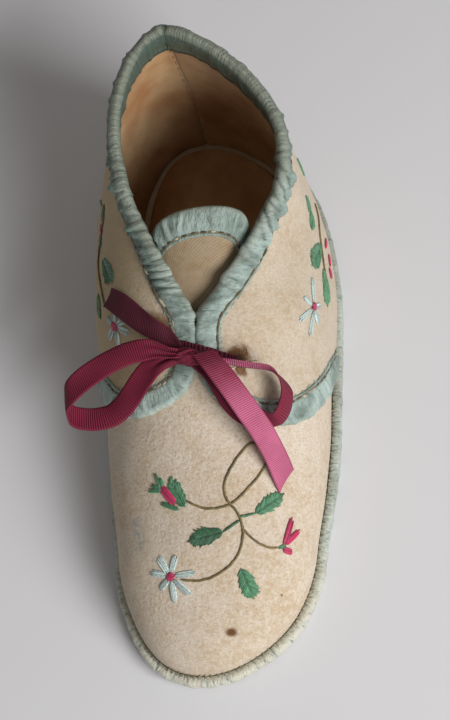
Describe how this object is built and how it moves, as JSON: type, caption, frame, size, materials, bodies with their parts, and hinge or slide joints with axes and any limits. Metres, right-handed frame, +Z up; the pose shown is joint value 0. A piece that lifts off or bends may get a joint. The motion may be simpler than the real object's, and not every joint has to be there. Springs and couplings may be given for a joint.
{
  "type": "baby shoe",
  "caption": "Infant's soft left shoe of cream flannel with pale blue-green ribbon bindings, floral silk embroidery and a magenta ribbon tied in a bow.",
  "frame": {"origin": "The middle of the shoe's box on plan, without the bow, on the floor under the sole.", "axes": "+Z is up and +Y runs from the toe to the heel, so the toe points to -Y. +X is the outer side of the left foot."},
  "size_m": [0.0533, 0.1268, 0.0563],
  "materials": {
    "flannel": "napped cream wool flannel, mottled with age",
    "lining": "plain tan cotton lining",
    "sole_cloth": "firm cloth-covered sole",
    "binding": "thin pale blue-green silk ribbon, gathered by its stitches",
    "tie": "magenta ribbed silk ribbon, faded pink at one end"
  },
  "bodies": {
    "root": {"sole": "sole_cloth", "insole": "lining", "sole_binding": "binding", "upper": "flannel", "tongue": "flannel", "tongue_binding": "binding", "collar_binding": "binding", "lap_binding_left": "binding", "lap_binding_right": "binding", "ribbon_bar": "tie", "ribbon_knot": "tie", "ribbon_loop_left": "tie", "ribbon_loop_right": "tie", "ribbon_end_lower": "tie", "ribbon_end_upper": "tie"}
  },
  "joints": []
}
